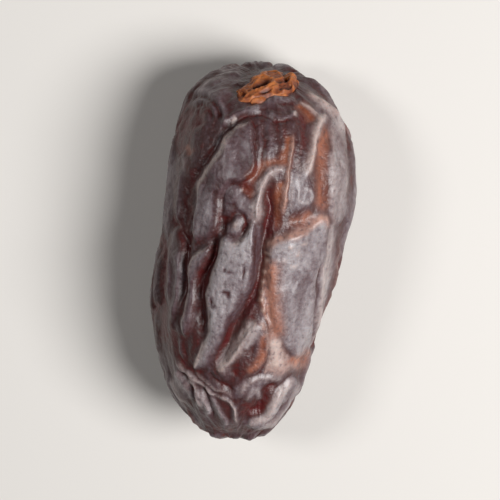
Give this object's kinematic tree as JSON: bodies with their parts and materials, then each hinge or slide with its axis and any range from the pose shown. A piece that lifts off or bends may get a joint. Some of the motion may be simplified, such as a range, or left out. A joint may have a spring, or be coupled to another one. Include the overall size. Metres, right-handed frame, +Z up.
{
  "type": "medjool date",
  "caption": "Whole dried medjool date lying on its side, with deeply furrowed, puffed skin and its dry calyx in the dip at the stem end.",
  "frame": {"origin": "on the surface the date rests on, under the middle of its box", "axes": "+X along the fruit towards its calyx, +Z up from the surface it rests on, +Y to the left of the picture"},
  "size_m": [0.0504, 0.0252, 0.0219],
  "materials": {
    "date_skin": "wrinkled dried fruit skin, satin with a grey waxy bloom, glossy in the furrows",
    "dry_calyx": "dry fibrous plant tissue, matte"
  },
  "bodies": {
    "root": {"date_fruit": "date_skin", "calyx_cap": "dry_calyx"}
  },
  "joints": []
}
